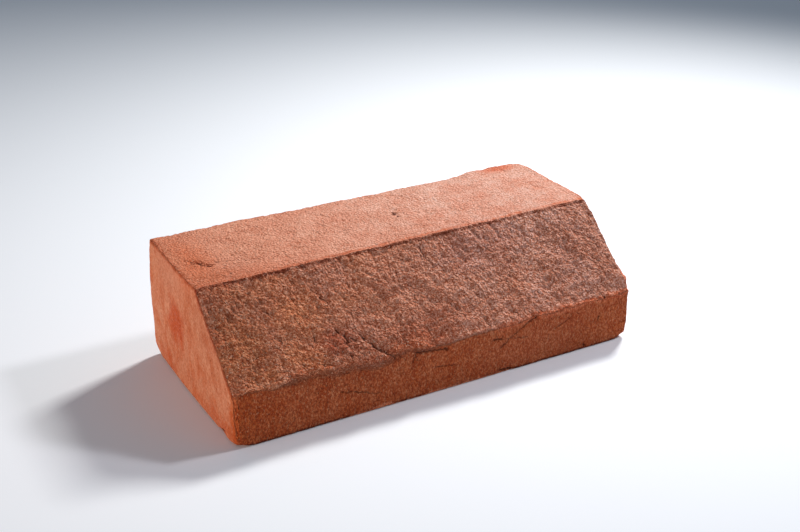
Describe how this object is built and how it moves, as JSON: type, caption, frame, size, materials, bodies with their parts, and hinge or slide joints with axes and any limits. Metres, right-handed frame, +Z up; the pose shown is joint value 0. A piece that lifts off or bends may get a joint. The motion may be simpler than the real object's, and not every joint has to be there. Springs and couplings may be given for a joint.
{
  "type": "plinth brick",
  "caption": "Hand-moulded fired-clay brick whose front is a low upright riser and a long splay leaning back to a narrower top bed, lying on its bed face.",
  "frame": {"origin": "centre of the bottom bed face", "axes": "+X along the brick's length, +Y from the upright riser to the back face, +Z up from the bottom bed to the top bed"},
  "size_m": [0.215, 0.1024, 0.063],
  "materials": {
    "fired_clay": "matt, sand-faced and uneven, pale orange on the beds and ends, brown-red on the splay and riser"
  },
  "bodies": {
    "root": {"plinth_brick": "fired_clay"}
  },
  "joints": []
}
